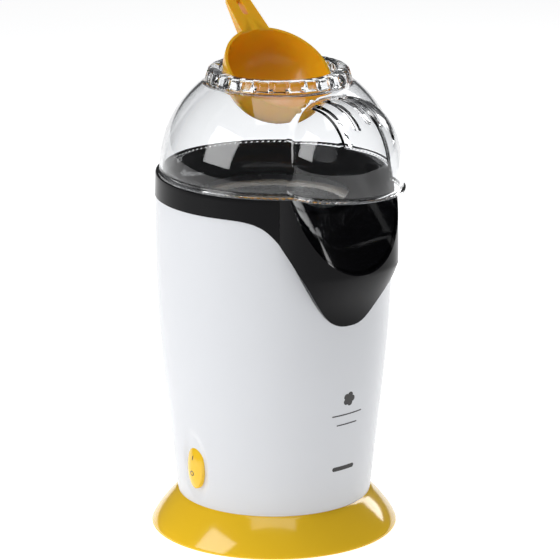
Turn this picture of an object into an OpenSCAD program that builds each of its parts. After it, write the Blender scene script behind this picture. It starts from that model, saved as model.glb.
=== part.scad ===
// Hot-air popcorn maker with a clear lid and a measuring scoop.
// Millimetres. Origin on the table at the centre of the foot, +Z up, spout towards -Y.

/* [Body] */
// Radius of the foot where it meets the table
foot_r = 78; // [74:1:92]
// Height of the foot
foot_h = 22.5; // [20:0.5:26]
// Radius of the body just above the foot
waist_r = 61; // [60:0.5:66]
// Widest radius of the body
belly_r = 73.8; // [72:0.2:84]
// Height at which the body is widest
belly_z = 185; // [170:1:195]
// Height at which the straight flank turns into the belly
flank_z = 100; // [80:1:130]
// Height of the body's upper edge
body_top = 215; // [206:1:230]
// Height of the black collar above the body's upper edge
collar_h = 14.5; // [12:0.5:20]
// Wall of the moulded shells
wall = 2.5; // [2:0.1:3]
// How far the collar and the spout stand proud of the body
collar_proud = 1; // [0.6:0.1:2]

/* [Spout] */
// Half angle between the two seams of the spout insert
seam_half = 36.5; // [34:0.5:44]
// How far the tongue under the spout reaches below the body's upper edge
tongue_drop = 70; // [50:1:85]
// Half angle over which the tongue spreads out
tongue_spread = 31; // [26:1:34]
// How far the lip pours out beyond the body
lip_out = 13; // [8:0.5:14]
// Distance of the lip's lowest point below the collar's top face
lip_drop = 49.5; // [44:0.5:54]
// Half the width of the chute
chute_half = 41.8; // [38:0.1:42]
// Depth of the chute's rounded floor
chute_deep = 30.7; // [24:0.1:36]
// Slope of the chute below the horizontal
chute_slope = 46; // [42:0.5:50]

/* [Lid] */
// Radius of the dome at its rim
dome_r = 74; // [72:0.5:84]
// Height that the dome would have with a closed top
dome_h = 71.5; // [60:0.5:84]
// Distance of the dome's axis in front of the body's axis
dome_shift = 4.5; // [0:0.5:5]
// Wall of the clear lid
lid_wall = 2; // [1.6:0.1:2.6]
// Radius of the hood over the spout
hood_r = 40; // [38:0.5:44]
// Height of the hood above the rim
hood_h = 56; // [44:1:58]
// Distance of the hood's axis in front of the body's axis
hood_reach = 62; // [56:0.5:66]
// Number of steam slots in the hood
slot_count = 5; // [3:2:7]
// Distance between two steam slots
slot_pitch = 8.8; // [7:0.2:9.4]
// Width of a steam slot
slot_w = 3; // [2:0.2:4]
// Number of teeth round the crown
crown_teeth = 28; // [20:2:36]

/* [Scoop] */
// Outside radius of the scoop's bowl
bowl_r = 34.5; // [32:0.5:37]
// Tilt of the scoop as it rests in the crown
scoop_tilt = 36; // [20:1:45]
// Turn of the scoop's mouth away from the spout
scoop_turn = -7; // [-20:1:20]
// Length of the handle beyond the bowl
handle_len = 31; // [20:1:40]
// Width of the handle at its end
handle_w = 17; // [12:0.5:20]

/* [Popping chamber] */
// Inside radius of the popping chamber
chamber_r = 44; // [40:0.5:45]
// Height of the chamber's rim above the table
chamber_top = 208; // [204:1:210]
// Depth of the popping chamber
chamber_d = 84; // [76:1:86]
// Number of air louvres round the chamber
louvre_count = 24; // [16:1:30]
// Radius of the steel heat shield
shield_r = 54; // [52:0.5:55]

/* [Fan and motor] */
// Radius of the fan
fan_r = 44; // [38:0.5:47]
// Number of fan blades
blade_count = 9; // [7:1:13]
// Radius of the motor's can
motor_r = 16; // [14:0.5:20]
// Length of the motor's can
motor_len = 34; // [28:1:38]
// Radius of the motor's shaft
shaft_r = 1.6; // [1.5:0.1:2.5]

/* [Switch] */
// Width of the rocker
rocker_w = 15.5; // [13:0.5:18]
// Height of the rocker
rocker_h = 31; // [26:0.5:34]
// Height of the rocker's centre above the table
rocker_z = 49; // [46:0.5:56]
// Tilt of the rocker each way from the middle
rocker_tilt = 4; // [3:0.5:6]

/* [Clearances] */
// Gap between parts that move apart or turn past each other
gap = 0.4; // [0.3:0.05:0.6]
// Gap round a turning shaft or trunnion
running = 0.05; // [0.02:0.01:0.09]
// Gap under the lid's rim where it rests on the collar
rest_gap = 0.1; // [0.05:0.05:0.3]

/* [Hidden] */
$fn = 96;
step_z = 8;                                  // spacing of the rings of a curved shell
rim_z = body_top + collar_h;                 // top face of the collar, where the lid rests
ledge_r = belly_r - 0.6;                     // outer edge of that face
upstand_r = dome_r - dome_shift - lid_wall - gap - 0.4; // outside of the rim that centres the lid
upstand_h = 1.8;
lip_z = rim_z - lip_drop;
lip_y = body_r(lip_z) + collar_proud + lip_out; // distance of the lip in front of the axis
throat_r = chamber_r + 3;                    // hole of the collar's dish
throat_z = chamber_top + 2;                  // underside of the dish at its hole
gasket_h = 2;
flange_t = 1;                                // sheet flange of the chamber
chamber_wall = 0.8;
flange_r = chamber_r + 8;
ear_r = flange_r + 6;                        // circle of the chamber's three screws
ear_angles = [60, 180, 300];
ear_boss_h = 5.4;                            // bosses under the dish that take those screws
duct_z = 78;                                 // height of the fan housing's floor
duct_h = 30;
duct_wall = 2;
duct_r = shield_r - 2;                       // outside of the fan housing
duct_ear_r = shield_r + 3.2;
duct_angles = [30, 150, 270];
shield_wall = 0.7;
shield_z0 = duct_z + duct_h;
shield_top = chamber_top - flange_t;
plate_z = 4;                                 // underside of the base plate
plate_t = 2.5;
plate_lip = 3;                               // stiffening rim of the base plate
feet_head = 1.2;                             // barb that holds a rubber foot in the plate
feet_ring = foot_inner(plate_z + plate_t + feet_head) - 5;
plate_r = foot_inner(plate_z + plate_t) - gap;
post_r = 4.2;
post_ring = waist_r - 9;                     // circle of the four long screws
post_angles = [45, 135, 225, 315];
screw_r = 1.5;
boss_h = 20;
cord_z = 42;                                 // height of the cord's inlet at the back
cord_hole_r = 5.5;
motor_top = duct_z;
motor_z0 = motor_top - motor_len;
cap_t = 2;
bearing_r = shaft_r + 2;
board_gap = 3;
fan_z = duct_z + duct_wall + 4;
fan_h = 15;
coil_z = shield_z0 + 6;
coil_radii = [26, 38];
coil_wire_r = 2.2;                           // radius of the wound heater spiral
mica_h = 12;
skin_x = body_r(rocker_z);
pivot_x = skin_x - 7;                        // distance of the rocker's trunnions from the axis
trunnion_r = 1.4;
trunnion_len = 2.4;
rocker_face_r = 34;                          // radius of the rocker's face about a line across it
rocker_out = 2.2;                            // how far the middle of the rocker stands proud
cheek_t = 2.2;
eps = 0.01;

// Outside radius of the body at height z: a straight flank that runs into a gentle belly.
function belly_curve() = ((belly_z - flank_z) * (belly_z - flank_z) / 2
    + (belly_z - flank_z) * (flank_z - foot_h)) / (belly_r - waist_r);
function body_r(z) = z < flank_z
    ? waist_r + (z - foot_h) * (belly_z - flank_z) / belly_curve()
    : belly_r - pow(z - belly_z, 2) / (2 * belly_curve());

// Outside and inside radius of the foot at height z.
function foot_outer(z) = waist_r + (foot_r - waist_r) * (1 - pow(z / foot_h, 1.35));
function foot_inner(z) = foot_outer(z) - wall;

// Height of the line between black and white at an angle from the spout's axis.
function tongue_z(a) = body_top - tongue_drop * exp(-pow(abs(a) / tongue_spread, 2.7));

function steps(from, to, size) = let (n = max(1, round(abs(to - from) / size)))
    [for (i = [0:n]) from + (to - from) * i / n];
function shell_profile(z0, z1, out) = [for (z = steps(z0, z1, step_z)) [body_r(z) + out, z]];
function reversed(p) = [for (i = [len(p) - 1:-1:0]) p[i]];

// Half outline of a domed shell: a quarter of a superellipse.
function dome_outline(r, h, power) = [for (t = [0:3:90])
    [r * pow(cos(t), 2 / power), h * pow(sin(t), 2 / power)]];

module dome_solid(r, h, power) {
    rotate_extrude() polygon(concat([[0, 0]], dome_outline(r, h, power)));
}

module ring(r_out, r_in, z0, z1) {
    translate([0, 0, z0]) difference() {
        cylinder(r = r_out, h = z1 - z0);
        translate([0, 0, -1]) cylinder(r = r_in, h = z1 - z0 + 2);
    }
}

module around(radius, angles) {
    for (a = angles) rotate([0, 0, a]) translate([radius, 0, 0]) children();
}

// A cross-head screw: its head below z = 0 and its shank above, so that it is driven from below.
module screw(shank, head_r, head_h) {
    difference() {
        union() {
            translate([0, 0, -head_h / 2]) cylinder(r = screw_r, h = shank + head_h / 2);
            translate([0, 0, -head_h]) cylinder(r = head_r, h = head_h);
        }
        for (a = [0, 90]) rotate([0, 0, a])
            translate([-head_r * 0.6, -0.4, -head_h - 1]) cube([head_r * 1.2, 0.8, 1.8]);
    }
}

// Everything above the black and white line, in front of the body's axis.
module tongue_region(extra) {
    front_r = body_r(body_top - tongue_drop / 2);
    outline = [for (a = [-78:3:78]) [front_r * sin(a), tongue_z(a) + extra]];
    rotate([90, 0, 0]) linear_extrude(height = foot_r + 40)
        polygon(concat([[-foot_r * 2, body_top + extra]], outline,
            [[foot_r * 2, body_top + extra], [foot_r * 2, rim_z + 50], [-foot_r * 2, rim_z + 50]]));
}

// Wedge in front of the axis between the two seams of the spout insert.
module seam_wedge(half) {
    reach = foot_r * 2;
    translate([0, 0, foot_h]) linear_extrude(height = rim_z)
        polygon([[0, 0], [-reach * tan(half), -reach], [reach * tan(half), -reach]]);
}

module base_ring() color("gold") {
    outside = [for (z = steps(0, foot_h, 2)) [foot_outer(z), z]];
    inside = [for (z = steps(foot_h - wall, 0, 2)) [foot_inner(z), z]];
    difference() {
        union() {
            rotate_extrude() polygon(concat(outside,
                [[post_ring - 6, foot_h], [post_ring - 6, foot_h - wall]], inside));
            // Spigot that centres the body, broken where the body's bosses stand.
            difference() {
                ring(waist_r - wall - gap, waist_r - 2 * wall - gap, foot_h - 1, foot_h + 3);
                around(post_ring, post_angles) translate([0, 0, foot_h]) cylinder(r = post_r + 4, h = 10);
            }
            around(post_ring, post_angles)
                translate([0, 0, plate_z + plate_t]) cylinder(r = post_r, h = foot_h - plate_z - plate_t - 1);
        }
        around(post_ring, post_angles) cylinder(r = screw_r + 0.3, h = foot_h + 10);
    }
}

module base_plate() color("dimgray") difference() {
    union() {
        translate([0, 0, plate_z]) cylinder(r = plate_r, h = plate_t);
        ring(plate_r - 10, plate_r - 12, plate_z, plate_z + plate_t + plate_lip);
    }
    around(post_ring, post_angles) {
        cylinder(r = screw_r + 0.3, h = foot_h);
        translate([0, 0, plate_z - 1]) cylinder(r = 3.4, h = 2);
    }
    around(feet_ring, [0, 90, 180, 270]) translate([0, 0, plate_z - 1]) cylinder(r = 2.6, h = 10);
    // Air is drawn in through three rings of slots.
    for (k = [0:2]) for (a = [0:30:330]) rotate([0, 0, a + 15])
        translate([13 + 10 * k, -1.5 - k * 0.7, plate_z - 1]) cube([7, 3 + k * 1.4, 5]);
}

module rubber_feet() color("black") around(feet_ring, [0, 90, 180, 270]) difference() {
    union() {
        cylinder(r = 6, h = plate_z);
        cylinder(r = 2.6, h = plate_z + plate_t);
        translate([0, 0, plate_z + plate_t]) cylinder(r = 3.6, h = feet_head);
    }
    translate([0, 0, -1]) cylinder(r = 2, h = 1.6);
}

module case_screws() color("silver") around(post_ring, post_angles)
    translate([0, 0, plate_z + 1]) screw(foot_h - plate_z + 12, 3.1, 1.4);

module body_shell() {
    inside = shell_profile(foot_h, body_top, -wall);
    rotate_extrude() polygon(concat(shell_profile(foot_h, body_top, 0), reversed(inside)));
}

module body_housing() color("white") difference() {
    union() {
        difference() {
            body_shell();
            tongue_region(0);
        }
        // Bosses for the long case screws, each tied to the wall by a rib.
        around(post_ring, post_angles) translate([0, 0, foot_h + eps]) {
            cylinder(r = post_r, h = boss_h);
            translate([post_r - 1, -1, 0]) cube([body_r(foot_h) - wall - post_ring - post_r + 1.6, 2, boss_h]);
        }
        // Shelves that carry the fan housing.
        for (a = duct_angles) rotate([0, 0, a]) intersection() {
            translate([duct_ear_r - 4.5, -5, duct_z - 12]) cube([30, 10, 12]);
            cylinder(r = body_r(duct_z - 12) - wall + 0.4, h = duct_z);
        }
        // Lugs that take the collar's screws.
        for (a = [30, 90, 150]) rotate([0, 0, a]) intersection() {
            translate([body_r(body_top) - wall - 7, -4.5, body_top - 18]) cube([30, 9, 4]);
            cylinder(r = body_r(body_top - 18) - wall + 0.4, h = body_top);
        }
    }
    around(post_ring, post_angles) cylinder(r = screw_r, h = foot_h + boss_h - 3);
    around(duct_ear_r, duct_angles) translate([0, 0, duct_z - 9]) cylinder(r = screw_r, h = 12);
    around(body_r(body_top) - wall - 3.5, [30, 90, 150])
        translate([0, 0, body_top - 20]) cylinder(r = screw_r + 0.3, h = 10);
    translate([0, 0, cord_z]) rotate([-90, 0, 0]) cylinder(r = cord_hole_r, h = foot_r);
    rocker_opening(rocker_w + 2 * gap + 0.6, rocker_h + 2 * gap + 1);
}

// Grommet in the hole at the back through which a mains cord would enter.
module cord_bush() color("black") translate([0, body_r(cord_z), cord_z]) rotate([-90, 0, 0]) difference() {
    union() {
        translate([0, 0, -wall - 4]) cylinder(r = cord_hole_r, h = wall + 5);
        translate([0, 0, 0.8]) cylinder(r = cord_hole_r + 1.8, h = 1.4);
        translate([0, 0, -wall - 4]) cylinder(r = cord_hole_r + 1.4, h = 1.4);
    }
    translate([0, 0, -wall - 10]) cylinder(r = 3.6, h = wall + 20);
    // The flanges lie against the wall, whatever its slope.
    rotate([90, 0, 0]) translate([0, -body_r(cord_z), -cord_z]) difference() {
        body_shell();
        translate([0, 0, cord_z]) rotate([-90, 0, 0]) cylinder(r = cord_hole_r, h = foot_r);
    }
}

// Section of the dish: top ledge, upstand, the dish that leads to the chamber, and its underside.
function dish_section() = let (u = upstand_r, z = rim_z, t = throat_z) [
    [belly_r, z - 1], [ledge_r, z], [u, z], [u, z + upstand_h - 0.4], [u - 0.4, z + upstand_h],
    [u - 1.3, z + upstand_h], [u - 1.7, z + upstand_h - 0.4], [u - 2.6, z - 3], [u - 4.5, z - 7.5],
    [u - 8, z - 11.5], [u - 13, z - 14.8], [throat_r + 2.4, t + 3.4], [throat_r + 0.6, t + 2.4],
    [throat_r, t + 1], [throat_r, t], [throat_r + 6, t], [u - 9, t + 3.5], [u - 3.5, z - 11],
    [u - 0.6, z - 6], [u + 1, z - 2.6], [body_r(body_top) - wall + 0.6, z - 2.6]];

// The collar is that section with a skirt that hangs over the body.
function collar_section() = let (low = body_top - tongue_drop * 0.3) concat(
    [[body_r(low) + collar_proud, low], [body_r(body_top) + collar_proud, body_top]],
    dish_section(), [[body_r(body_top) - wall + 0.6, low]]);

module collar_ring() color("black") difference() {
    union() {
        difference() {
            rotate_extrude() polygon(collar_section());
            // Below the body's upper edge only the part beside the tongue is left.
            difference() {
                ring(belly_r + lip_out, upstand_r - 3.2, 100, body_top);
                tongue_region(0);
            }
        }
        around(body_r(body_top) - wall - 3.5, [30, 90, 150])
            translate([0, 0, body_top - 14]) cylinder(r = 2.8, h = 21);
        around(ear_r, ear_angles) translate([0, 0, chamber_top]) cylinder(r = 3, h = ear_boss_h);
    }
    seam_wedge(seam_half);
    around(body_r(body_top) - wall - 3.5, [30, 90, 150])
        translate([0, 0, body_top - 15]) cylinder(r = screw_r, h = 11);
    around(ear_r, ear_angles) translate([0, 0, chamber_top - 1]) cylinder(r = screw_r, h = ear_boss_h);
}

module collar_screws() color("silver") around(body_r(body_top) - wall - 3.5, [30, 90, 150])
    translate([0, 0, body_top - 18]) screw(12, 2.6, 1.6);

// Outside of the spout insert: flush at the tongue's tip and at the seams, flared at the lip.
function flare(a, z) = let (t = (z - tongue_z(0)) / (lip_z - tongue_z(0)), s = min(1, max(0, t)))
    lip_out * (1 - pow(abs(a) / seam_half, 4)) * s * s * (2 - s);
function skin_point(a, z, inward) = let (r = body_r(z) + collar_proud + flare(a, z) - inward)
    [r * sin(a), -r * cos(a), z];

// Solid of the insert's outside, depth thick.
module spout_skin(depth) {
    across = [for (i = [-18:18]) seam_half * i / 18];
    up = [for (i = [0:14]) i / 14];
    cols = len(across);
    rows = len(up);
    layer = cols * rows;
    points = [for (inward = [0, depth]) for (a = across) for (t = up)
        skin_point(a, tongue_z(a) + t * (rim_z - tongue_z(a)), inward)];
    function at(i, j) = i * rows + j;
    outer = [for (i = [0:cols - 2]) for (j = [0:rows - 2])
        [at(i, j), at(i, j + 1), at(i + 1, j + 1), at(i + 1, j)]];
    inner = [for (f = outer) [for (k = [3:-1:0]) f[k] + layer]];
    sides = concat(
        [for (i = [0:cols - 2]) [at(i, 0), at(i + 1, 0), at(i + 1, 0) + layer, at(i, 0) + layer]],
        [for (i = [0:cols - 2]) let (j = rows - 1)
            [at(i + 1, j), at(i, j), at(i, j) + layer, at(i + 1, j) + layer]],
        [for (j = [0:rows - 2]) [at(0, j + 1), at(0, j), at(0, j) + layer, at(0, j + 1) + layer]],
        [for (j = [0:rows - 2]) let (i = cols - 1)
            [at(i, j), at(i, j + 1), at(i, j + 1) + layer, at(i, j) + layer]]);
    polyhedron(points = points, faces = concat(outer, inner, sides), convexity = 6);
}

// Section of the chute across its slope, its floor a half ellipse, grown by an amount.
function chute_section(grow) = let (w = chute_half, h = chute_deep * cos(chute_slope)) concat(
    [for (a = [-90:5:90]) [(w + grow) * sin(a), h - (h + grow) * cos(a)]],
    [[w + grow, rim_z], [-w - grow, rim_z]]);

// Space of the chute, which slopes from the dish down over the lip.
module chute_bore(grow) {
    translate([0, -lip_y, lip_z]) rotate([90 + chute_slope, 0, 0])
        translate([0, 0, -lip_drop * 2]) linear_extrude(height = lip_drop * 4) polygon(chute_section(grow));
}

module spout_chute() color("black") difference() {
    union() {
        spout_skin(wall);
        // Part of the dish between the seams.
        intersection() {
            rotate_extrude() polygon(dish_section());
            seam_wedge(seam_half);
        }
        // Trough that carries the popcorn from the dish to the lip.
        intersection() {
            spout_skin(belly_r + lip_out - throat_r);
            chute_bore(2);
            difference() {
                seam_wedge(seam_half - 1.2);
                cylinder(r = throat_r + 6.5, h = rim_z + 40);
            }
        }
    }
    chute_bore(0);
    around(ear_r, ear_angles) translate([0, 0, chamber_top - 1]) cylinder(r = screw_r, h = ear_boss_h);
}

// Drawn aluminium cup with slanted air louvres round its foot.
module popping_chamber() color("silver") difference() {
    union() {
        rotate_extrude() polygon([
            [0, chamber_top - chamber_d + 5], [chamber_r - 16, chamber_top - chamber_d],
            [chamber_r - 5, chamber_top - chamber_d], [chamber_r + chamber_wall, chamber_top - chamber_d + 6],
            [chamber_r + chamber_wall, shield_top], [flange_r, shield_top], [flange_r, chamber_top],
            [chamber_r, chamber_top], [chamber_r, chamber_top - chamber_d + 6.3],
            [chamber_r - 5.3, chamber_top - chamber_d + chamber_wall],
            [chamber_r - 15.9, chamber_top - chamber_d + chamber_wall],
            [0, chamber_top - chamber_d + 5 + chamber_wall]]);
        around(ear_r, ear_angles) translate([0, 0, shield_top]) {
            cylinder(r = 3.6, h = flange_t);
            translate([-8, -3.6, 0]) cube([8, 7.2, flange_t]);
        }
    }
    around(ear_r, ear_angles) translate([0, 0, shield_top - 1]) cylinder(r = screw_r + 0.3, h = 4);
    for (i = [0:louvre_count - 1]) rotate([0, 0, i * 360 / louvre_count])
        translate([chamber_r, 0, chamber_top - chamber_d + 16]) rotate([35, 0, 0])
            translate([-3, -0.9, -6.5]) cube([6, 1.8, 13]);
}

module chamber_gasket() color("whitesmoke") ring(flange_r, chamber_r + 1.5, chamber_top, throat_z);

module chamber_screws() color("silver") around(ear_r, ear_angles)
    translate([0, 0, shield_top]) screw(ear_boss_h - 1, 2.6, 1.4);

module heat_shield() color("lightgray") ring(shield_r + shield_wall, shield_r, shield_z0, shield_top);

module mica_frame() color("tan") difference() {
    union() for (a = [20, 110]) rotate([0, 0, a])
        translate([-shield_r + 1.2, -0.5, shield_z0]) cube([2 * shield_r - 2.4, 1, mica_h]);
    rotate_extrude() for (r = coil_radii) translate([r, coil_z]) circle(r = coil_wire_r);
    translate([0, 0, shield_z0 - 1]) cylinder(r = 6, h = 4);
}

module heater_coils() color("dimgray") rotate_extrude() for (r = coil_radii)
    translate([r, coil_z]) circle(r = coil_wire_r);

module thermostat() color("silver") rotate([0, 0, 200]) difference() {
    union() {
        translate([shield_r, 0, 124]) rotate([0, 90, 0]) cylinder(r = 7, h = 5);
        translate([shield_r, -9, 119]) cube([2.4, 18, 10]);
    }
    cylinder(r = shield_r + shield_wall, h = 200);
}

module thermal_fuse() color("white") rotate([0, 0, 160]) difference() {
    union() {
        translate([shield_r + 3, 0, 136]) cylinder(r = 2.1, h = 12);
        translate([shield_r, -1.2, 140]) cube([4, 2.4, 4]);
    }
    cylinder(r = shield_r + shield_wall, h = 200);
}

// Moulded housing under the heater: the fan turns inside it and the motor hangs below it.
module fan_housing() color("darkslategray") difference() {
    union() {
        ring(duct_r, duct_r - duct_wall, duct_z, shield_z0);
        ring(shield_r + 2.5, duct_r - duct_wall, shield_z0 - 2, shield_z0);
        translate([0, 0, duct_z]) cylinder(r = duct_r, h = duct_wall);
        around(duct_ear_r, duct_angles) translate([-7, -5, duct_z]) cube([11, 10, 3]);
    }
    translate([0, 0, duct_z - 1]) cylinder(r = bearing_r + gap, h = 6);
    around(duct_ear_r, duct_angles) translate([0, 0, duct_z - 1]) cylinder(r = screw_r + 0.3, h = 8);
    around(motor_r - 5, [90, 270]) translate([0, 0, duct_z - 1]) cylinder(r = screw_r + 0.2, h = 8);
    // Air inlets round the motor.
    for (a = [0:30:330]) rotate([0, 0, a]) translate([motor_r + 3, -3, duct_z - 1]) cube([16, 6, 5]);
}

module duct_screws() color("silver") around(duct_ear_r, duct_angles)
    translate([0, 0, duct_z + 3]) mirror([0, 0, 1]) screw(10, 2.6, 1.6);

module fan_impeller() color("ivory") difference() {
    union() {
        translate([0, 0, fan_z]) cylinder(r = fan_r, h = 1.5);
        translate([0, 0, fan_z]) cylinder(r = 5, h = fan_h);
        for (i = [0:blade_count - 1]) rotate([0, 0, i * 360 / blade_count])
            translate([4, -0.7, fan_z + 1]) rotate([0, 0, 12]) intersection() {
                cube([fan_r - 7, 1.4, fan_h - 1]);
                translate([0, 0, -1]) cylinder(r = fan_r, h = fan_h + 2);
            }
    }
    translate([0, 0, fan_z - 1]) cylinder(r = shaft_r, h = fan_h + 2);
}

module motor_can() color("silver") difference() {
    translate([0, 0, motor_z0]) cylinder(r = motor_r, h = motor_len);
    translate([0, 0, motor_z0 - 1]) cylinder(r = motor_r - 1.2, h = motor_len - 1);
    translate([0, 0, motor_z0]) cylinder(r = bearing_r, h = motor_len + 2);
    around(motor_r - 5, [90, 270]) translate([0, 0, motor_top - 4]) cylinder(r = screw_r, h = 6);
}

module motor_end_cap() color("ivory") difference() {
    translate([0, 0, motor_z0 - cap_t]) cylinder(r = motor_r, h = cap_t);
    translate([0, 0, motor_z0 - 5]) cylinder(r = bearing_r, h = 10);
}

module motor_bearings() color("goldenrod") {
    ring(bearing_r, shaft_r + running, motor_top - 2, motor_top + 1);
    ring(bearing_r, shaft_r + running, motor_z0 - cap_t, motor_z0 + 1);
}

module motor_magnets() color("dimgray") for (a = [0, 180]) rotate([0, 0, a]) intersection() {
    ring(motor_r - 1.2, motor_r - 3.8, motor_z0 + 7, motor_top - 6);
    translate([2.5, -motor_r * 0.8, 0]) cube([motor_r, motor_r * 1.6, motor_top]);
}

module motor_armature() color("peru") difference() {
    union() {
        translate([0, 0, motor_z0 + 9]) cylinder(r = motor_r - 4.6, h = motor_len - 17);
        translate([0, 0, motor_z0 + 3]) cylinder(r = 3.6, h = 7);
    }
    translate([0, 0, motor_z0]) cylinder(r = shaft_r, h = motor_len);
    // Slots between the poles of the laminated stack.
    for (a = [0, 120, 240]) rotate([0, 0, a])
        translate([7, -1.2, motor_z0 + 8]) cube([10, 2.4, motor_len]);
}

module motor_shaft() color("silver")
    translate([0, 0, motor_z0 - cap_t - 0.6]) cylinder(r = shaft_r, h = fan_z + fan_h - motor_z0 + cap_t + 2);

module motor_screws() color("silver") around(motor_r - 5, [90, 270])
    translate([0, 0, duct_z + duct_wall]) mirror([0, 0, 1]) screw(3.4, 2.4, 1.4);

module motor_terminals() color("gold") for (s = [-1, 1])
    translate([s * 9 - 0.4, -1.5, motor_z0 - cap_t - board_gap]) cube([0.8, 3, board_gap]);

module rectifier_board() color("darkgreen")
    translate([0, 0, motor_z0 - cap_t - board_gap - 1.6]) cylinder(r = motor_r, h = 1.6);

module rectifier_diodes() color("black") for (x = [-7.5, -2.5, 2.5, 7.5])
    translate([x - 1.4, -4, motor_z0 - cap_t - board_gap - 4.4]) cube([2.8, 8, 2.8]);

module terminal_block() color("ivory") translate([22, 20, plate_z + plate_t]) difference() {
    cube([16, 10, 9]);
    for (x = [4, 12]) translate([x, 5, 4]) cylinder(r = 1.8, h = 8);
}

// Eight-sided tube along a list of points.
module lead(points, r) {
    count = len(points);
    function run(i) = points[min(count - 1, i + 1)] - points[max(0, i - 1)];
    function side(d) = let (s = cross(d, [0.31, 0.17, 0.93])) s / norm(s);
    function spoke(i, a) = let (d = run(i) / norm(run(i)), s = side(d), t = cross(d, s))
        points[i] + r * (cos(a) * s + sin(a) * t);
    rings = [for (i = [0:count - 1]) for (a = [0:45:315]) spoke(i, a)];
    walls = [for (i = [0:count - 2]) for (k = [0:7])
        [i * 8 + k, i * 8 + (k + 1) % 8, (i + 1) * 8 + (k + 1) % 8, (i + 1) * 8 + k]];
    polyhedron(points = rings, faces = concat([[for (k = [7:-1:0]) k]], walls,
        [[for (k = [0:7]) (count - 1) * 8 + k]]), convexity = 4);
}

// Points on a smooth curve from one end to the other, pulled towards two handles.
function bend(a, b, c, d) = [for (i = [0:12]) let (t = i / 12, u = 1 - t)
    u * u * u * a + 3 * u * u * t * b + 3 * u * t * t * c + t * t * t * d];

// Two leads from the terminal block, one to the rectifier and one to the switch.
module inner_leads() color("steelblue") {
    block_z = plate_z + plate_t + 9;
    board_z = motor_z0 - cap_t - board_gap - 1.6;
    tab_x = 25 - pivot_x;
    lead(bend([26, 25, block_z], [26, 25, block_z + 14], [0, 11.5, board_z - 14], [0, 11.5, board_z]), 1);
    lead(bend([34, 25, block_z], [34, 50, block_z + 40], [tab_x + 14, 50, rocker_z + 5],
        [tab_x, 1, rocker_z + 5]), 1);
}

// Almond outline of the rocker, seen from the front of the switch.
module rocker_outline(w, h) {
    polygon([for (t = [0:9:351]) [w / 2 * sin(t), h / 2 * cos(t)]]);
}

module rocker_opening(w, h) {
    translate([-skin_x + 12, 0, rocker_z]) rotate([90, 0, -90])
        linear_extrude(height = 40) rocker_outline(w, h);
}

// Frame behind the wall that carries the rocker on its two trunnions.
module switch_frame() color("gainsboro") {
    z0 = rocker_z - 9;
    z1 = rocker_z + 9;
    half = rocker_w / 2 + gap;
    difference() {
        intersection() {
            union() {
                for (s = [-1, 1]) translate([-skin_x, s * (half + cheek_t / 2) - cheek_t / 2, z0])
                    cube([skin_x - pivot_x + 11, cheek_t, z1 - z0]);
                translate([9.5 - pivot_x, -half - cheek_t, z0]) cube([1.5, 2 * (half + cheek_t), z1 - z0]);
            }
            translate([0, 0, z0]) cylinder(r1 = body_r(z0) - wall - 0.1, r2 = body_r(z1) - wall - 0.1, h = z1 - z0);
        }
        translate([-pivot_x, 0, rocker_z]) rotate([90, 0, 0])
            cylinder(r = trunnion_r + running, h = rocker_w * 2, center = true);
    }
}

module switch_block() color("black") translate([-pivot_x + 11, 0, rocker_z]) {
    translate([0, -(rocker_w / 2 + gap + cheek_t), -10]) cube([10, rocker_w + 2 * gap + 2 * cheek_t, 20]);
    for (z = [-5, 5]) translate([10, -0.4, z - 2]) cube([4, 0.8, 4]);
}

// Rocker, drawn with its upper end pressed in, which is the ON position.
module switch_rocker() color("gold")
    translate([-pivot_x, 0, rocker_z]) rotate([0, rocker_tilt, 0]) translate([pivot_x, 0, -rocker_z]) {
        intersection() {
            translate([-skin_x - 5, 0, rocker_z]) rotate([90, 0, 90])
                linear_extrude(height = 10) rocker_outline(rocker_w, rocker_h);
            translate([-skin_x - rocker_out + rocker_face_r, 0, rocker_z]) rotate([90, 0, 0])
                rotate_extrude() polygon(concat([[0, -rocker_w], [0, rocker_w]],
                    [for (y = [rocker_w / 2:-rocker_w / 16:-rocker_w / 2])
                        [rocker_face_r - pow(y, 2) / 22, y]]));
        }
        translate([-pivot_x, 0, rocker_z]) rotate([90, 0, 0])
            cylinder(r = trunnion_r, h = rocker_w + 2 * gap + 2 * trunnion_len - 1, center = true);
        translate([-pivot_x - 3, -3, rocker_z - 2.5]) cube([5.5, 6, 5]);
    }

lid_z = rim_z + rest_gap;
crown_z = lid_z + dome_h * pow(1 - pow(crown_r() / dome_r, 2.1), 1 / 2.1);
function crown_r() = bowl_r + 10.5;
seat_r = bowl_r - 0.9;                       // edge of the hole in which the bowl rests
crown_top = lid_z + 65.5;
bowl_z = crown_top - 0.5;

// Filling hole through the crown: a seat for the scoop's bowl under a wider mouth.
module crown_bore() {
    rotate_extrude() polygon([[0, crown_top - 20], [seat_r, crown_top - 20], [seat_r, crown_top - 9.2],
        [bowl_r + 0.7, crown_top - 8], [bowl_r + 1.2, crown_top - 0.8], [bowl_r + 2.6, crown_top + eps],
        [bowl_r + 2.6, crown_top + 30], [0, crown_top + 30]]);
}

// Crown round the filling hole, with a toothed outer wall.
module crown() {
    difference() {
        rotate_extrude() polygon([[crown_r(), crown_z - 1], [crown_r(), crown_z + 2.2],
            [crown_r() - 1.2, crown_top - 1.2], [crown_r() - 2.6, crown_top], [bowl_r + 2.6, crown_top],
            [bowl_r + 1.2, crown_top - 0.8], [bowl_r + 0.7, crown_top - 8], [seat_r, crown_top - 9.2],
            [seat_r, crown_top - 10.6], [bowl_r + 2.6, crown_top - 10.6], [bowl_r + 3.4, crown_z - 2]]);
        for (i = [0:crown_teeth - 1]) rotate([0, 0, (i + 0.5) * 360 / crown_teeth])
            translate([crown_r() - 2.6, -1.3, crown_z + 0.6]) cube([6, 2.6, 12]);
    }
}

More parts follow.
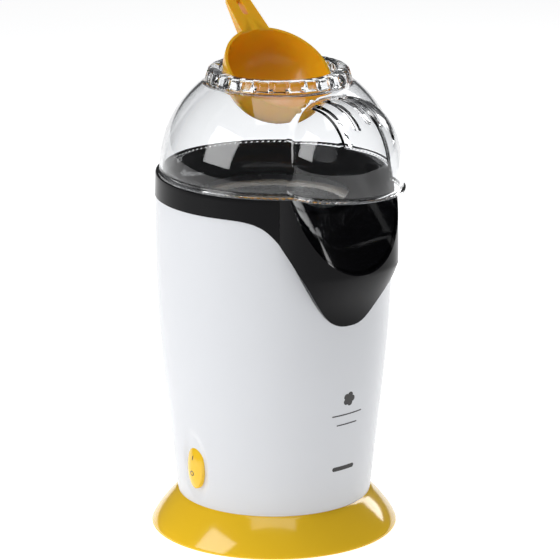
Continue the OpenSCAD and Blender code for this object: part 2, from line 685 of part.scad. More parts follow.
module lid_body(inset) {
    translate([0, -dome_shift, lid_z]) dome_solid(dome_r - inset, dome_h - inset, 2.1);
    translate([0, -hood_reach, lid_z]) dome_solid(hood_r - inset, hood_h - inset, 2.6);
}

module dome_lid() color([0.85, 0.9, 0.95, 0.4]) difference() {
    union() {
        lid_body(0);
        // Flat rim that rests on the collar.
        translate([0, 0, lid_z]) {
            translate([0, -dome_shift, 0]) cylinder(r = dome_r + 0.8, h = 1.6);
            translate([0, -hood_reach, 0]) cylinder(r = hood_r + 1.2, h = 1.6);
        }
        translate([0, -dome_shift, 0]) crown();
    }
    difference() {
        translate([0, 0, -eps]) lid_body(lid_wall);
        translate([0, -dome_shift, 0]) crown();
    }
    translate([0, -dome_shift, 0]) crown_bore();
    // Steam slots, the middle one the highest.
    for (i = [0:slot_count - 1]) let (k = i - (slot_count - 1) / 2, x = k * slot_pitch,
        low = hood_h - 11.5 - 0.037 * x * x)
        translate([x, -hood_reach, lid_z + low]) {
            translate([-slot_w / 2, -hood_r - 4, slot_w / 2]) cube([slot_w, hood_r + 6, hood_h]);
            rotate([90, 0, 0]) translate([0, slot_w / 2, 0]) cylinder(r = slot_w / 2, h = hood_r + 4);
        }
}

// Measuring scoop: a half-round bowl with a hollow-backed handle, tilted towards the spout.
module measuring_scoop() color("orange")
    translate([0, -dome_shift, bowl_z]) rotate([0, 0, scoop_turn]) rotate([scoop_tilt, 0, 0]) {
        difference() {
            sphere(r = bowl_r);
            sphere(r = bowl_r - 1.8);
            translate([-50, -50, 0]) cube([100, 100, 100]);
        }
        difference() {
            union() {
                hull() {
                    translate([0, bowl_r - 4, -2]) cylinder(r = handle_w / 2 + 1.5, h = 2, $fn = 32);
                    translate([0, bowl_r + handle_len - handle_w / 2, -2]) cylinder(r = handle_w / 2, h = 2, $fn = 32);
                }
                hull() {
                    translate([0, bowl_r - 5, -12]) cylinder(r = handle_w / 2 - 2, h = 12, $fn = 32);
                    translate([0, bowl_r + handle_len - handle_w / 2 - 1, -4]) cylinder(r = handle_w / 2 - 1, h = 4, $fn = 32);
                }
            }
            sphere(r = bowl_r - 0.9);
            translate([0, bowl_r + handle_len - handle_w / 2 - 9, -10]) hull() {
                cylinder(r = 2, h = 20, $fn = 32);
                translate([0, 9, 0]) cylinder(r = 2, h = 20, $fn = 32);
            }
        }
    }

base_ring();
base_plate();
rubber_feet();
case_screws();
body_housing();
cord_bush();
collar_ring();
spout_chute();
collar_screws();
popping_chamber();
chamber_gasket();
chamber_screws();
heat_shield();
mica_frame();
heater_coils();
thermostat();
thermal_fuse();
fan_housing();
duct_screws();
fan_impeller();
motor_can();
motor_end_cap();
motor_bearings();
motor_magnets();
motor_armature();
motor_shaft();
motor_screws();
motor_terminals();
rectifier_board();
rectifier_diodes();
terminal_block();
inner_leads();
switch_frame();
switch_block();
switch_rocker();
dome_lid();
measuring_scoop();
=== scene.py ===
# Hot-air popcorn maker: white barrel on a yellow foot, black collar with a spout, clear lid and scoop.
# Metres, in the CAD's own frame: origin on the table under the body's axis, +Z up, spout towards -Y.
import math

import bmesh
import bpy
from mathutils import Matrix, Vector
from mathutils.bvhtree import BVHTree


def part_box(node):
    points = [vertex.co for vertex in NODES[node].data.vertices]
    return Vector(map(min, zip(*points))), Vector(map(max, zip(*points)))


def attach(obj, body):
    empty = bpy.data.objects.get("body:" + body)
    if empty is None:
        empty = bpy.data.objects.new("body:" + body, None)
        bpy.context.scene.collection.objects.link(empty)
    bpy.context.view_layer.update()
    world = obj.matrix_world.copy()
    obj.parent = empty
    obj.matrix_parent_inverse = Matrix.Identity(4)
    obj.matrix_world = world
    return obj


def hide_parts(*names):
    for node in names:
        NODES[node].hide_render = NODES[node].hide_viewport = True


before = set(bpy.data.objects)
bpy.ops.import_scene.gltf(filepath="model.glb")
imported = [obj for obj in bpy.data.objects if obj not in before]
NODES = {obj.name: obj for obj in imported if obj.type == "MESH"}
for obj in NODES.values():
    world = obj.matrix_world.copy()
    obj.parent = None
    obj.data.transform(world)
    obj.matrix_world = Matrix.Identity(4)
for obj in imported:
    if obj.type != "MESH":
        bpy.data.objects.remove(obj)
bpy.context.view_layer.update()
MM = 0.001

# Camera.
# A long lens at standing height, in front of the machine and a little to the switch's side.
AZIMUTH, ELEVATION, DISTANCE, LENS = math.radians(-39.1), math.radians(15.75), 2.244, 230.2
aim = Vector((0.0029, -0.0024, 0.1579))
towards = Vector((math.sin(AZIMUTH) * math.cos(ELEVATION), -math.cos(AZIMUTH) * math.cos(ELEVATION),
                  math.sin(ELEVATION)))
camera = bpy.data.objects.new("camera", bpy.data.cameras.new("camera"))
bpy.context.scene.collection.objects.link(camera)
camera.data.lens, camera.data.sensor_width = LENS, 36
camera.data.clip_start, camera.data.clip_end = 0.05, 40
camera.location = aim + towards * DISTANCE
camera.rotation_mode = "QUATERNION"
camera.rotation_quaternion = (-towards).to_track_quat("-Z", "Y")
bpy.context.scene.camera = camera
bpy.context.scene.view_settings.view_transform = "Standard"


# Studio.
# A pale floor, a big softbox at the switch's side, a tall strip behind the spout's side and a top light.
def linear(hex_code):
    """Linear colour, with alpha, of an sRGB hex value."""
    parts = [int(hex_code[i:i + 2], 16) / 255 for i in (0, 2, 4)]
    return [c / 12.92 if c <= 0.04045 else ((c + 0.055) / 1.055) ** 2.4 for c in parts] + [1.0]


def add(tree, kind, links=None, **settings):
    """Adds a node to tree, sets its properties and sockets, and links its inputs."""
    node = tree.nodes.new(kind)
    for name, value in settings.items():
        if hasattr(node, name):
            setattr(node, name, value)
        else:
            node.inputs[name.replace("_", " ")].default_value = value
    for name, source in (links or {}).items():
        tree.links.new(source, node.inputs[name])
    return node


def new_material(name, **shader_values):
    """A material with one Principled shader; returns it with its tree and its shader."""
    material = bpy.data.materials.new(name)
    material.use_nodes = True
    tree = material.node_tree
    shader = tree.nodes["Principled BSDF"]
    for socket, value in shader_values.items():
        shader.inputs[socket.replace("_", " ")].default_value = value
    return material, tree, shader


def make_object(name, mesh):
    """Links a new object that holds mesh into the scene."""
    made = bpy.data.objects.new(name, mesh)
    bpy.context.scene.collection.objects.link(made)
    return made


FLOOR_SIZE = 24
floor_mesh = bpy.data.meshes.new("floor")
bm = bmesh.new()
bmesh.ops.create_grid(bm, x_segments=1, y_segments=1, size=FLOOR_SIZE / 2)
bm.to_mesh(floor_mesh)
bm.free()
floor = make_object("floor", floor_mesh)
floor_paint, _, _ = new_material("pale_floor_paint", Base_Color=linear("FAFAFA"), Roughness=0.7,
                                 Emission_Color=linear("FFFFFF"), Emission_Strength=0.78)
floor_mesh.materials.append(floor_paint)

world = bpy.data.worlds.new("studio")
world.use_nodes = True
world.node_tree.nodes["Background"].inputs["Color"].default_value = linear("F2F4F8")
world.node_tree.nodes["Background"].inputs["Strength"].default_value = 0.1
bpy.context.scene.world = world


def softbox(name, azimuth, elevation, distance, size, power):
    """A rectangular light that faces the middle of the machine; angles as the camera's."""
    light = bpy.data.lights.new(name, "AREA")
    light.shape = "RECTANGLE"
    light.size, light.size_y = size
    light.energy = power
    holder = bpy.data.objects.new(name, light)
    bpy.context.scene.collection.objects.link(holder)
    a, e = math.radians(azimuth), math.radians(elevation)
    way = Vector((math.sin(a) * math.cos(e), -math.cos(a) * math.cos(e), math.sin(e)))
    holder.location = Vector((0, 0, 0.17)) + way * distance
    holder.rotation_mode = "QUATERNION"
    holder.rotation_quaternion = (-way).to_track_quat("-Z", "Y")


softbox("key_softbox", -102, 27, 1.5, (0.8, 0.85), 9.6)
softbox("rim_strip", 96, 24, 1.4, (0.3, 1.0), 5)
softbox("top_softbox", -40, 80, 1.5, (1.0, 1.0), 6.5)


# Foot.
# One yellow ABS moulding, a bell-shaped ring under the barrel, polished in the tool so it mirrors the lights.
def moulded(name, colour, roughness, grain_mm, relief_mm, drift=0.04, shade=0.93, coat=0.0):
    """A moulded plastic: a fine skin of that grain and relief, and slow drifts of shade and roughness."""
    material, tree, shader = new_material(name, Coat_Weight=coat, Coat_Roughness=0.04)
    place = add(tree, "ShaderNodeTexCoord").outputs["Object"]
    cloudy = add(tree, "ShaderNodeTexNoise", {"Vector": place}, Scale=1 / (38 * MM), Detail=2.0)
    grain = add(tree, "ShaderNodeTexNoise", {"Vector": place}, Scale=1 / (grain_mm * MM), Detail=3.0)
    deep = [c * shade for c in colour[:3]] + [1.0]
    tint = add(tree, "ShaderNodeMix", {"Factor": cloudy.outputs["Fac"]}, data_type="RGBA", blend_type="MIX")
    tint.inputs["A"].default_value, tint.inputs["B"].default_value = deep, colour
    polish = add(tree, "ShaderNodeMapRange", {"Value": cloudy.outputs["Fac"]}, From_Min=0.3, From_Max=0.7,
                 To_Min=roughness - drift, To_Max=roughness + drift)
    skin = add(tree, "ShaderNodeBump", {"Height": grain.outputs["Fac"]}, Strength=0.6, Distance=relief_mm * MM)
    tree.links.new(tint.outputs["Result"], shader.inputs["Base Color"])
    tree.links.new(polish.outputs["Result"], shader.inputs["Roughness"])
    tree.links.new(skin.outputs["Normal"], shader.inputs["Normal"])
    return material


def lathe(name, outline, steps, start=0.0, turn=math.tau):
    """Turns a closed outline of (radius, height) points about the upright axis, from start on."""
    bm = bmesh.new()
    section = [bm.verts.new((0, -r, z)) for r, z in outline]
    sides = [bm.edges.new(pair) for pair in zip(section, section[1:] + section[:1])]
    whole = turn == math.tau
    if not whole:
        first = bm.faces.new(section)
    bmesh.ops.rotate(bm, verts=section, cent=(0, 0, 0), matrix=Matrix.Rotation(start, 3, "Z"))
    bmesh.ops.spin(bm, geom=section + sides + ([] if whole else [first]), cent=(0, 0, 0),
                   axis=(0, 0, 1), angle=turn, steps=steps, use_merge=whole)
    bmesh.ops.remove_doubles(bm, verts=bm.verts, dist=0.002 * MM)
    bmesh.ops.recalc_face_normals(bm, faces=bm.faces)
    mesh = bpy.data.meshes.new(name)
    bm.to_mesh(mesh)
    bm.free()
    return mesh


def settle(name, mesh, material, slot, body, *nodes, angle=32):
    """Gives a finished mesh its material, smooth shading, body and the CAD nodes it stands for; slot is not
    used.
    """
    mesh.materials.clear()
    mesh.materials.append(material)
    mesh.shade_smooth()
    mesh.set_sharp_from_angle(angle=math.radians(angle))
    made = make_object(name, mesh)
    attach(made, body)
    if nodes:
        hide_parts(*nodes)
    return made


barrel_low, barrel_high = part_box("body_housing")
WAIST_R, FOOT_R, FOOT_TOP, WALL = 61 * MM, 78 * MM, barrel_low.z, 2.5 * MM


def flare_radius(z):
    """Outside of the foot at height z."""
    return WAIST_R + (FOOT_R - WAIST_R) * (1 - (z / FOOT_TOP) ** 1.35)


# Glossy yellow ABS: wet-looking, with a trace of orange peel in its reflections.
yellow_abs = moulded("polished_yellow_abs", linear("FFCE28"), 0.13, 6, 0.012, shade=0.97, coat=0.25)
EDGE, FOOT_HOLE_R = 0.7 * MM, 46 * MM
heights = [EDGE + (FOOT_TOP - EDGE) * k / 24 for k in range(24)]
foot_outline = [(flare_radius(0) - 2 * EDGE, 0), (flare_radius(0) - EDGE, 0.12 * MM),
                (flare_radius(0) - 0.35 * EDGE, 0.35 * EDGE)]
foot_outline += [(flare_radius(z), z) for z in heights]
foot_outline += [(WAIST_R + 0.05 * MM, FOOT_TOP - 0.35 * MM), (WAIST_R - 0.4 * MM, FOOT_TOP),
                 (FOOT_HOLE_R, FOOT_TOP), (FOOT_HOLE_R, FOOT_TOP - WALL)]
foot_outline += [(flare_radius(z) - WALL, z) for z in reversed(heights) if z < FOOT_TOP - WALL]
foot_outline += [(flare_radius(0) - WALL, 0)]
foot_mesh = lathe("foot_moulding", foot_outline, 240)
settle("foot_moulding", foot_mesh, yellow_abs, "yellow_plastic", "base", "base_ring")


# Barrel.
# One white ABS moulding that swells from the foot to the collar, cut down in front for the spout's tongue,
# with an almond hole for the switch in a shallow dish pressed into the wall.
BARREL_TOP, BELLY_R, BELLY_Z, FLANK_Z = barrel_high.z, barrel_high.x, 185 * MM, 100 * MM
TONGUE_DROP, TONGUE_SPREAD = 70 * MM, math.radians(31)
bulge = ((BELLY_Z - FLANK_Z) ** 2 / 2 + (BELLY_Z - FLANK_Z) * (FLANK_Z - FOOT_TOP)) / (BELLY_R - WAIST_R)


def barrel_radius(z):
    """Outside of the barrel at height z: a straight flank that runs into a gentle belly."""
    if z < FLANK_Z:
        return WAIST_R + (z - FOOT_TOP) * (BELLY_Z - FLANK_Z) / bulge
    return BELLY_R - (z - BELLY_Z) ** 2 / (2 * bulge)


def from_spout(point):
    """Angle of a point round the upright axis, 0 at the spout."""
    return math.atan2(point.x, -point.y)


def tongue_line(angle):
    """Height of the joint between white and black at an angle from the spout."""
    return BARREL_TOP - TONGUE_DROP * math.exp(-(abs(angle) / TONGUE_SPREAD) ** 2.7)


def at_radius(point, radius, z):
    """The point moved to another radius and height, at its own angle."""
    angle = from_spout(point)
    return Vector((radius * math.sin(angle), -radius * math.cos(angle), z))


rocker_low, rocker_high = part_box("switch_rocker")
rocker_mid = (rocker_low.z + rocker_high.z) / 2
HOLE_HALF_Y, HOLE_HALF_Z = 8.45 * MM, 16.4 * MM
DISH_DEEP, DISH_SPREAD = 1.5 * MM, 0.55
rows = [FOOT_TOP + (BARREL_TOP - FOOT_TOP) * k / 96 for k in range(97)]
barrel_outline = [(barrel_radius(z), z) for z in rows]
barrel_outline[0] = (barrel_radius(rows[0]) - 0.25 * MM, rows[0])
barrel_outline += [(barrel_radius(z) - WALL, z) for z in reversed(rows[::4])]
barrel_mesh = lathe("barrel_moulding", barrel_outline, 300)
bm = bmesh.new()
bm.from_mesh(barrel_mesh)
PULL_FROM = 112 * MM
for v in bm.verts:
    depth = barrel_radius(v.co.z) - math.hypot(v.co.x, v.co.y)
    z = v.co.z
    if z > PULL_FROM:
        top = tongue_line(from_spout(v.co)) - 0.15 * MM
        z = PULL_FROM + (z - PULL_FROM) * (top - PULL_FROM) / (BARREL_TOP - PULL_FROM)
    if v.co.x < 0:
        out = math.hypot(v.co.y / HOLE_HALF_Y, (z - rocker_mid) / HOLE_HALF_Z) - 1
        fade = min(1, max(0, 1 - out / DISH_SPREAD))
        depth += DISH_DEEP * fade * fade * (3 - 2 * fade)
    v.co = at_radius(v.co, barrel_radius(z) - depth, z)
bm.to_mesh(barrel_mesh)
bm.free()


def prism(name, outline, matrix, length):
    """A prism with that flat outline, placed by matrix, its length along the outline's own z."""
    bm = bmesh.new()
    face = bm.faces.new([bm.verts.new((x, y, 0)) for x, y in outline])
    far = bmesh.ops.extrude_face_region(bm, geom=[face])["geom"]
    bmesh.ops.translate(bm, verts=[g for g in far if isinstance(g, bmesh.types.BMVert)], vec=(0, 0, length))
    bmesh.ops.recalc_face_normals(bm, faces=bm.faces)
    bmesh.ops.transform(bm, matrix=matrix, verts=bm.verts)
    mesh = bpy.data.meshes.new(name)
    bm.to_mesh(mesh)
    bm.free()
    return make_object(name, mesh)


def carve(mesh, cutter, operation="DIFFERENCE"):
    """A new mesh: mesh with the cutter taken away; the cutter is used up."""
    block = make_object(mesh.name, mesh)
    cut = block.modifiers.new("cut", "BOOLEAN")
    cut.object, cut.operation, cut.solver = cutter, operation, "EXACT"
    seen = block.evaluated_get(bpy.context.evaluated_depsgraph_get())
    result = bpy.data.meshes.new_from_object(seen)
    bpy.data.objects.remove(block)
    bpy.data.objects.remove(cutter)
    return result


def oval(half_width, half_height, steps):
    """Points round an oval."""
    turns = [math.tau * k / steps for k in range(steps)]
    return [(half_width * math.sin(t), half_height * math.cos(t)) for t in turns]


almond = oval(HOLE_HALF_Y, HOLE_HALF_Z, 72)
across_to_y = Matrix(((0, 0, -1, 0), (1, 0, 0, 0), (0, 1, 0, 0), (0, 0, 0, 1)))
into_wall = Matrix.Translation((-30 * MM, 0, rocker_mid)) @ across_to_y
barrel_mesh = carve(barrel_mesh, prism("switch_hole", almond, into_wall, 60 * MM))
cord_low, cord_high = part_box("cord_bush")
cord_middle = (cord_low.z + cord_high.z) / 2
CORD_HOLE_R = 5.5 * MM
disc = oval(CORD_HOLE_R, CORD_HOLE_R, 48)
to_back = Matrix.Translation((0, 40 * MM, cord_middle)) @ Matrix.Rotation(math.radians(-90), 4, "X")
barrel_mesh = carve(barrel_mesh, prism("cord_hole", disc, to_back, 40 * MM))
# White ABS from a satin-polished tool: soft reflections with faint, slow ripples.
white_abs = moulded("satin_white_abs", linear("DEE0E4"), 0.24, 9, 0.012, drift=0.03, shade=0.985)
settle("barrel_moulding", barrel_mesh, white_abs, "white_plastic", "base", "body_housing", angle=40)


# Collar.
# One high-gloss black ABS ring: the band above the barrel, the ledge for the lid and the dish inside it.
# Its skirt runs down beside the tongue and ends at the two seams of the spout insert.
SEAM, PROUD = math.radians(36.5), 1 * MM
RIM_Z = BARREL_TOP + 14.5 * MM
skirt_low = tongue_line(SEAM)
UPSTAND_R, THROAT_R, THROAT_Z = 66.7 * MM, 47 * MM, 210 * MM
# High-gloss black ABS: near mirror, faint waviness from the tool.
black_abs = moulded("gloss_black_abs", linear("08080B"), 0.07, 14, 0.006, drift=0.02, shade=0.8)
black_abs.node_tree.nodes["Principled BSDF"].inputs["Specular IOR Level"].default_value = 0.12


def dish_outline():
    """Section of the rim, the upstand and the dish, from the outer edge to the throat and back underneath."""
    edge = [(0, -1.2), (-0.12, -0.55), (-0.45, -0.12), (-1, 0)]
    upstand = [(0, 0), (0, 1.4), (-0.4, 1.8), (-1.3, 1.8), (-1.7, 1.4)]
    over = [(BELLY_R + r * MM, RIM_Z + z * MM) for r, z in edge]
    over += [(UPSTAND_R + r * MM, RIM_Z + z * MM) for r, z in upstand]
    wall_top = Vector((UPSTAND_R - 2.6 * MM, RIM_Z - 3 * MM))
    wall_foot = Vector((THROAT_R + 2.4 * MM, THROAT_Z + 3.4 * MM))
    knee = Vector((UPSTAND_R - 5 * MM, RIM_Z - 14 * MM))
    for k in range(17):
        t = k / 16
        point = wall_top * (1 - t) ** 2 + knee * 2 * t * (1 - t) + wall_foot * t * t
        over.append((point.x, point.y))
    under = [(THROAT_R + r * MM, THROAT_Z + z * MM) for r, z in ((0.6, 2.4), (0, 1), (0, 0), (6, 0))]
    under.append((UPSTAND_R - 9 * MM, THROAT_Z + 3.5 * MM))
    under += [(UPSTAND_R + r * MM, RIM_Z + z * MM) for r, z in ((-3.5, -11), (-0.6, -6), (1, -2.6))]
    return over + under


skirt_rows = [skirt_low + (BARREL_TOP - skirt_low) * k / 10 for k in range(11)]
skirt_r = barrel_radius(skirt_low)
collar_outline = [(skirt_r + 0.45 * PROUD, skirt_low), (skirt_r + PROUD, skirt_low + 0.6 * MM)]
collar_outline += [(barrel_radius(z) + PROUD, z) for z in skirt_rows[1:]]
band_foot, band_height = barrel_radius(BARREL_TOP) + PROUD, RIM_Z - 1.6 * MM - BARREL_TOP
collar_outline += [(band_foot + (BELLY_R - band_foot) * k / 6, BARREL_TOP + band_height * k / 6)
                   for k in range(1, 6)]
collar_outline += dish_outline()
inner = barrel_radius(BARREL_TOP) - WALL + 0.6 * MM
collar_outline += [(inner, RIM_Z - 2.6 * MM), (inner, BARREL_TOP), (inner, skirt_low)]
collar_mesh = lathe("collar_moulding", collar_outline, 260, SEAM, math.tau - 2 * SEAM)
bm = bmesh.new()
bm.from_mesh(collar_mesh)
for v in bm.verts:
    if v.co.z < BARREL_TOP - 0.001 * MM:
        depth = barrel_radius(v.co.z) - math.hypot(v.co.x, v.co.y)
        share = (BARREL_TOP - tongue_line(from_spout(v.co))) / (BARREL_TOP - skirt_low)
        z = BARREL_TOP - (BARREL_TOP - v.co.z) * share
        v.co = at_radius(v.co, barrel_radius(z) - depth, z)
bmesh.ops.remove_doubles(bm, verts=bm.verts, dist=0.01 * MM)
bmesh.ops.dissolve_degenerate(bm, edges=bm.edges, dist=0.005 * MM)
bm.to_mesh(collar_mesh)
bm.free()
settle("collar_moulding", collar_mesh, black_abs, "black_plastic", "base", "collar_ring", angle=35)


# Spout insert.
# The same gloss black: tongue, lip and chute in one moulding that slides in between the two seams.
LIP_OUT, LIP_Z, CHUTE_HALF, CHUTE_DEEP = 13 * MM, RIM_Z - 49.5 * MM, 41.8 * MM, 30.7 * MM
CHUTE_SLOPE, TIP_Z = math.radians(46), tongue_line(0)


def insert_radius(angle, z):
    """Outside of the insert: flush at the seams and the tip, flared at the lip."""
    rise = min(1, max(0, (z - TIP_Z) / (LIP_Z - TIP_Z)))
    return barrel_radius(z) + PROUD + LIP_OUT * (1 - abs(angle / SEAM) ** 4) * rise * rise * (2 - rise)


def insert_shell(name, half, recess, inside):
    """Part of the insert within half an angle either side, recess under its skin.

    The function inside gives its inner radius from its outer.
    """
    bm = bmesh.new()
    columns, levels = 72, 60
    grid = []
    for i in range(columns + 1):
        angle = half * (2 * i / columns - 1)
        low = tongue_line(angle)
        for j in range(levels + 1):
            z = low + (RIM_Z - 0.03 * recess - low) * j / levels
            way = Vector((math.sin(angle), -math.cos(angle), 0))
            grid.append(bm.verts.new(at_radius(way, insert_radius(angle, z) - recess, z)))
    for i in range(columns):
        for j in range(levels):
            corner = i * (levels + 1) + j
            bm.faces.new([grid[corner], grid[corner + 1], grid[corner + levels + 2], grid[corner + levels + 1]])
    made = bmesh.ops.extrude_face_region(bm, geom=list(bm.faces))["geom"]
    for v in made:
        if isinstance(v, bmesh.types.BMVert):
            v.co = at_radius(v.co, inside(math.hypot(v.co.x, v.co.y)), v.co.z)
    bmesh.ops.recalc_face_normals(bm, faces=bm.faces)
    mesh = bpy.data.meshes.new(name)
    bm.to_mesh(mesh)
    bm.free()
    return mesh


def chute_space(name, grow):
    """The sloping half-round space of the chute, grown by an amount."""
    high = CHUTE_DEEP * math.cos(CHUTE_SLOPE)
    outline = [((CHUTE_HALF + grow) * math.sin(a), high - (high + grow) * math.cos(a))
               for a in (math.radians(k - 90) for k in range(181))]
    outline += [(CHUTE_HALF + grow, 200 * MM), (-CHUTE_HALF - grow, 200 * MM)]
    lip_y = barrel_radius(LIP_Z) + PROUD + LIP_OUT
    tilt = Matrix.Translation((0, -lip_y, LIP_Z)) @ Matrix.Rotation(math.pi / 2 + CHUTE_SLOPE, 4, "X")
    return prism(name, outline, tilt @ Matrix.Translation((0, 0, -100 * MM)), 200 * MM)


skin = carve(insert_shell("skin", SEAM - math.radians(0.12), 0, lambda r: r - WALL), chute_space("chute", 0))
trough = insert_shell("trough", SEAM - math.radians(1.2), 1 * MM, lambda r: THROAT_R + 6.5 * MM)
trough = carve(carve(trough, chute_space("chute_outside", 2 * MM), "INTERSECT"), chute_space("chute", 0))
# The dish's part between the seams lies a hair under the rim it joins.
dish_edge = [(BELLY_R - 1.5 * MM, RIM_Z - 1.2 * MM)] + dish_outline()[3:] + [(inner, RIM_Z - 2.6 * MM)]
dish_edge = [(r, z - 0.03 * MM) for r, z in dish_edge]
dish_part = lathe("dish_part", dish_edge, 72, -SEAM + math.radians(0.16), 2 * SEAM - math.radians(0.32))
bm = bmesh.new()
for part in (skin, trough, carve(dish_part, chute_space("chute", 0))):
    bm.from_mesh(part)
spout_mesh = bpy.data.meshes.new("spout_moulding")
bm.to_mesh(spout_mesh)
bm.free()
settle("spout_moulding", spout_mesh, black_abs, "black_plastic", "base", "spout_chute", angle=38)


# Clear lid.
# Injection-moulded polystyrene dome and hood in one, with steam slots and a toothed crown round the hole.
# It stands loose on the collar's rim. Clear polystyrene: bright, hard reflections with the faintest flow ripples of a moulding.
clear_ps = moulded("clear_polystyrene", linear("FDFEFF"), 0.02, 16, 0.003, drift=0.012, shade=0.985)
clear_shader = clear_ps.node_tree.nodes["Principled BSDF"]
clear_shader.inputs["Transmission Weight"].default_value = 1.0
clear_shader.inputs["IOR"].default_value = 1.49


def merged_copy(node):
    """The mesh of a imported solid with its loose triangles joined."""
    bm = bmesh.new()
    bm.from_mesh(NODES[node].data)
    bmesh.ops.remove_doubles(bm, verts=bm.verts, dist=0.004 * MM)
    mesh = bpy.data.meshes.new(node + "_moulding")
    bm.to_mesh(mesh)
    bm.free()
    return mesh


settle("lid_moulding", merged_copy("dome_lid"), clear_ps, "clear_plastic", "lid", "dome_lid", angle=34)


# Measuring scoop.
# Orange-yellow polypropylene, a half-round bowl with a flat handle, slightly translucent where it is thin.
orange_pp = moulded("orange_polypropylene", linear("FFBE22"), 0.22, 5, 0.01, shade=0.95)
scoop_shader = orange_pp.node_tree.nodes["Principled BSDF"]
scoop_shader.inputs["Subsurface Weight"].default_value = 0.5
scoop_shader.inputs["Subsurface Radius"].default_value = (1.0, 0.45, 0.1)
scoop_shader.inputs["Subsurface Scale"].default_value = 3 * MM
settle("scoop_moulding", merged_copy("measuring_scoop"), orange_pp, "orange_plastic", "scoop",
       "measuring_scoop", angle=38)


# Rocker.
# Yellow ABS almond with a soft ridge, printed with the line and the ring for on and off.
rocker = settle("rocker_moulding", merged_copy("switch_rocker"), yellow_abs, "yellow_plastic", "rocker",
                "switch_rocker", angle=38)


# Prints.
# Pad-printed on the barrel's front: a popped flake, two strokes and a short bar.
# Ink: thin, dark and duller than the polished plastic under it.
ink = moulded("pad_print_ink", linear("2A2726"), 0.4, 0.6, 0.01, drift=0.08, shade=0.8)
PRINT_TURN, INK_THICK = math.radians(3.4), 0.06 * MM


def printed(bm, verts, across, height):
    """Wraps flat verts, drawn round (0, 0) in metres, onto the barrel at that angle and height."""
    for v in verts:
        z = height + v.co.y
        radius = barrel_radius(z) + v.co.z
        angle = across + v.co.x / barrel_radius(z)
        v.co = Vector((radius * math.sin(angle), -radius * math.cos(angle), z))


def thickened(bm, faces):
    """Gives flat ink its thickness."""
    top = bmesh.ops.extrude_face_region(bm, geom=faces)["geom"]
    raised = [g for g in top if isinstance(g, bmesh.types.BMVert)]
    bmesh.ops.translate(bm, verts=raised, vec=(0, 0, INK_THICK))


def ink_bar(bm, width, tall, segments):
    """A flat round-ended bar of ink, width by tall in metres."""
    made = bmesh.ops.create_grid(bm, x_segments=segments, y_segments=4, size=0.5)["verts"]
    for v in made:
        x = v.co.x * width
        past = max(0.0, abs(x) - (width - tall) / 2) / (tall / 2)
        v.co = Vector((x, v.co.y * tall * math.sqrt(max(0.02, 1 - past * past)), 0))


def close_ink(bm, name, body):
    """Finishes a print as its own thin piece on that body."""
    bmesh.ops.recalc_face_normals(bm, faces=bm.faces)
    mesh = bpy.data.meshes.new(name)
    bm.to_mesh(mesh)
    bm.free()
    settle(name, mesh, ink, "black_plastic", body)


def flake_reach(turn):
    """Edge of the popped flake, five soft lobes."""
    return 4.7 * MM * (0.72 + 0.28 * abs(math.cos(2.5 * turn)) ** 0.7)


bm = bmesh.new()
bmesh.ops.create_circle(bm, cap_ends=True, cap_tris=True, segments=160, radius=1)
for v in bm.verts:
    if v.co.length > 0.5:
        v.co = v.co * flake_reach(math.atan2(v.co.y, v.co.x))
thickened(bm, list(bm.faces))
printed(bm, bm.verts, PRINT_TURN, 96 * MM)
close_ink(bm, "flake_print", "base")
BARS = (("upper_stroke", 25, 0.8, 86), ("lower_stroke", 17, 0.8, 79.5), ("bar_print", 18, 2.8, 50))
for name, width, tall, height in BARS:
    bm = bmesh.new()
    ink_bar(bm, width * MM, tall * MM, 48)
    thickened(bm, list(bm.faces))
    printed(bm, bm.verts, PRINT_TURN, height * MM)
    close_ink(bm, name, "base")
# The rocker's own print, a line over a ring.
shape = BVHTree.FromObject(rocker, bpy.context.evaluated_depsgraph_get())


def laid_on_rocker(bm, height):
    """Drops flat ink, drawn round (0, 0), straight onto the rocker's face at that height."""
    for v in bm.verts:
        hit = shape.ray_cast(Vector((-0.1, -v.co.x, height + v.co.y)), Vector((1, 0, 0)))[0]
        v.co = Vector((hit.x - v.co.z + 0.01 * MM, hit.y, hit.z))


bm = bmesh.new()
ink_bar(bm, 0.8 * MM, 0.8 * MM, 8)
for v in bm.verts:
    v.co.y *= 4
thickened(bm, list(bm.faces))
laid_on_rocker(bm, rocker_mid + 5 * MM)
close_ink(bm, "on_line", "rocker")
bm = bmesh.new()
bmesh.ops.create_circle(bm, segments=40, radius=1.1 * MM)
bmesh.ops.create_circle(bm, segments=40, radius=1.7 * MM)
bmesh.ops.bridge_loops(bm, edges=bm.edges)
thickened(bm, list(bm.faces))
laid_on_rocker(bm, rocker_mid - 5 * MM)
close_ink(bm, "off_ring", "rocker")


# Works inside and underneath.
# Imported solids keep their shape; each gets the finish of the real part. Spark-eroded plastics and rubber look
# dull and even, silicone and nylon soft and waxy, mica flecked, and epoxy and ferrite dark and grainy.
def repaint(material, *nodes):
    """Puts a material on every slot of these CAD nodes."""
    for node in nodes:
        for place in NODES[node].material_slots:
            place.link = "OBJECT"
            place.material = material


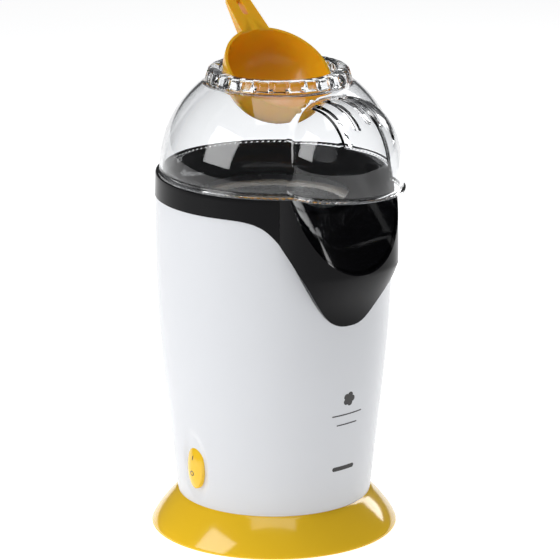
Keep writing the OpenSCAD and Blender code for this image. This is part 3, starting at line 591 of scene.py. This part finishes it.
repaint(moulded("spark_eroded_grey_abs", linear("2E2E31"), 0.5, 0.8, 0.03), "base_plate")
repaint(moulded("black_foot_rubber", linear("1A1A1A"), 0.75, 0.6, 0.03), "rubber_feet", "cord_bush")
repaint(moulded("black_heatproof_pbt", linear("19191C"), 0.45, 0.8, 0.02), "fan_housing", "switch_block")
repaint(moulded("ivory_nylon", linear("DAD2BC"), 0.42, 1.2, 0.02),
        "fan_impeller", "motor_end_cap", "terminal_block")
repaint(moulded("grey_polycarbonate", linear("B9BABD"), 0.4, 1.0, 0.02), "switch_frame")
repaint(moulded("white_silicone", linear("E4E2DC"), 0.55, 1.0, 0.02), "chamber_gasket")
repaint(moulded("blue_silicone_lead", linear("35598F"), 0.5, 1.0, 0.02), "inner_leads")
repaint(moulded("mica_board", linear("A08A5C"), 0.5, 2.5, 0.05, shade=0.7), "mica_frame")
repaint(moulded("green_board_laminate", linear("1E5A33"), 0.35, 1.5, 0.02), "rectifier_board")
repaint(moulded("black_epoxy", linear("151515"), 0.4, 1.0, 0.02), "rectifier_diodes")
repaint(moulded("grey_ferrite", linear("2A2A2A"), 0.6, 1.0, 0.05), "motor_magnets")
repaint(moulded("white_glass_sleeve", linear("E2DFD6"), 0.7, 1.0, 0.08), "thermal_fuse")


def worked_metal(name, colour, roughness, grain_mm, stretch):
    """A bright metal with fine marks, stretched round the upright axis by that factor."""
    material, tree, shader = new_material(name, Metallic=1.0, Base_Color=colour)
    place = add(tree, "ShaderNodeTexCoord").outputs["Object"]
    drawn = add(tree, "ShaderNodeMapping", {"Vector": place}, Scale=(1, 1, stretch))
    marks = add(tree, "ShaderNodeTexNoise", {"Vector": drawn.outputs["Vector"]},
                Scale=1 / (grain_mm * MM), Detail=4.0)
    dull = add(tree, "ShaderNodeMapRange", {"Value": marks.outputs["Fac"]}, From_Min=0.3, From_Max=0.7,
               To_Min=roughness - 0.08, To_Max=roughness + 0.08)
    relief = add(tree, "ShaderNodeBump", {"Height": marks.outputs["Fac"]}, Strength=0.4, Distance=0.01 * MM)
    tree.links.new(dull.outputs["Result"], shader.inputs["Roughness"])
    tree.links.new(relief.outputs["Normal"], shader.inputs["Normal"])
    return material


# Drawn and rolled metals show fine level streaks; plated, sintered and oxidised ones a fine grain.
repaint(worked_metal("drawn_aluminium", linear("D9DBDD"), 0.28, 3.0, 12), "popping_chamber")
repaint(worked_metal("bright_sheet_steel", linear("B9BBBE"), 0.3, 2.0, 8),
        "heat_shield", "motor_can", "thermostat")
repaint(worked_metal("zinc_plated_steel", linear("C3C5C8"), 0.32, 1.0, 1), "case_screws", "collar_screws",
        "chamber_screws", "duct_screws", "motor_screws", "motor_shaft")
repaint(worked_metal("oxidised_heater_alloy", linear("6B625C"), 0.5, 0.6, 1), "heater_coils")
repaint(worked_metal("sintered_bronze", linear("B98A46"), 0.45, 0.4, 1), "motor_bearings", "motor_terminals")
repaint(worked_metal("laminated_core_steel", linear("8C6A4C"), 0.45, 0.5, 20), "motor_armature")
